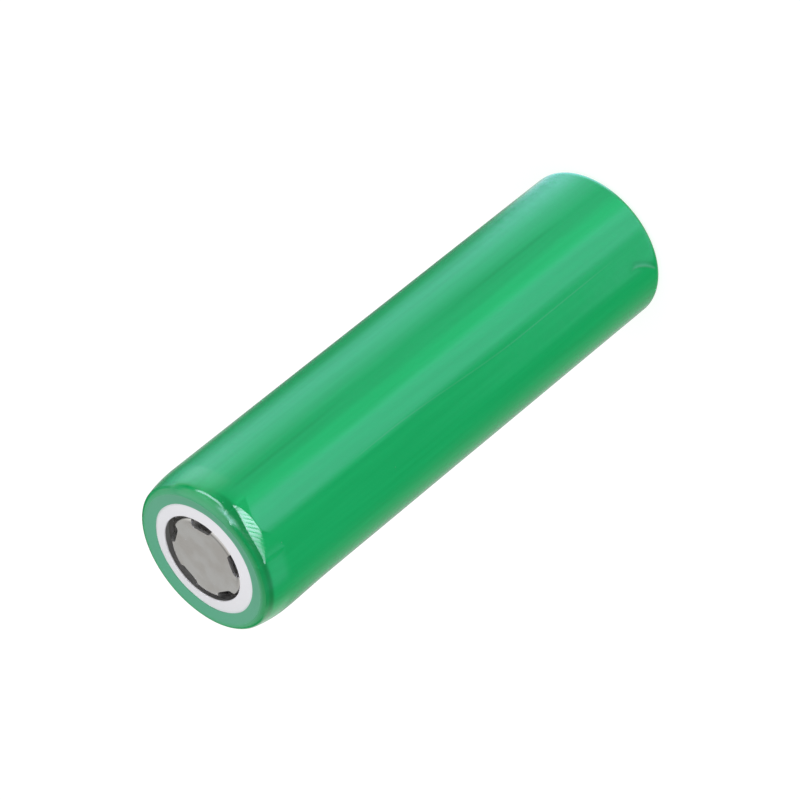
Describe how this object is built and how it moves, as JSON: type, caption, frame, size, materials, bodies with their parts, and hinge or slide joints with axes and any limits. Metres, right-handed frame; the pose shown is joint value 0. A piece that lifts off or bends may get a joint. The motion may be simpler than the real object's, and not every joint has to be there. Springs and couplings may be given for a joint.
{
  "type": "cylindrical battery cell",
  "caption": "Flat-top cylindrical lithium-ion cell: sleeved steel can, crimped vented header with white insulating washer, and a wound electrode roll inside.",
  "frame": {"origin": "centre of the negative end's resting face", "axes": "+Z along the cell's axis from the negative to the positive end, -Y towards the picture's viewer"},
  "size_m": [0.0184, 0.0184, 0.0648],
  "materials": {
    "sleeve_film": "glossy green shrink film",
    "washer_paper": "smooth white insulating paper",
    "nickel_plate": "nickel-plated steel, drawn",
    "gasket_plastic": "dark grey moulded plastic",
    "ptc_polymer": "carbon-filled polymer faced with thin metal",
    "header_aluminium": "stamped aluminium",
    "spacer_plastic": "moulded plastic",
    "tab_aluminium": "rolled aluminium strip",
    "amber_tape": "amber adhesive film",
    "insulator_fibre": "glass-fibre laminate",
    "cathode_coating": "metal oxide coating on foil",
    "anode_coating": "graphite coating on foil",
    "separator_film": "white microporous film",
    "pin_steel": "rolled steel",
    "tab_nickel": "rolled nickel strip"
  },
  "bodies": {
    "cell": {"sleeve": "sleeve_film", "washer": "washer_paper", "can": "nickel_plate", "gasket": "gasket_plastic", "terminal_cap": "nickel_plate", "ptc_ring": "ptc_polymer", "vent_disc": "header_aluminium", "cid_spacer": "spacer_plastic", "contact_disc": "header_aluminium", "positive_tab": "tab_aluminium", "positive_tab_tape": "amber_tape", "upper_insulator": "insulator_fibre", "cathode_sheet": "cathode_coating", "anode_sheet": "anode_coating", "inner_separator": "separator_film", "outer_separator": "separator_film", "winding_tape": "amber_tape", "centre_pin": "pin_steel", "negative_tab": "tab_nickel", "lower_insulator": "insulator_fibre"},
    "slug": {"contact_slug": "header_aluminium"}
  },
  "joints": [
    {"name": "interrupter_trip", "type": "slide", "parent": "cell", "child": "slug", "axis": [0, 0, 1], "range_m": [0, 0.0008], "deforming": ["vent_disc"]}
  ]
}
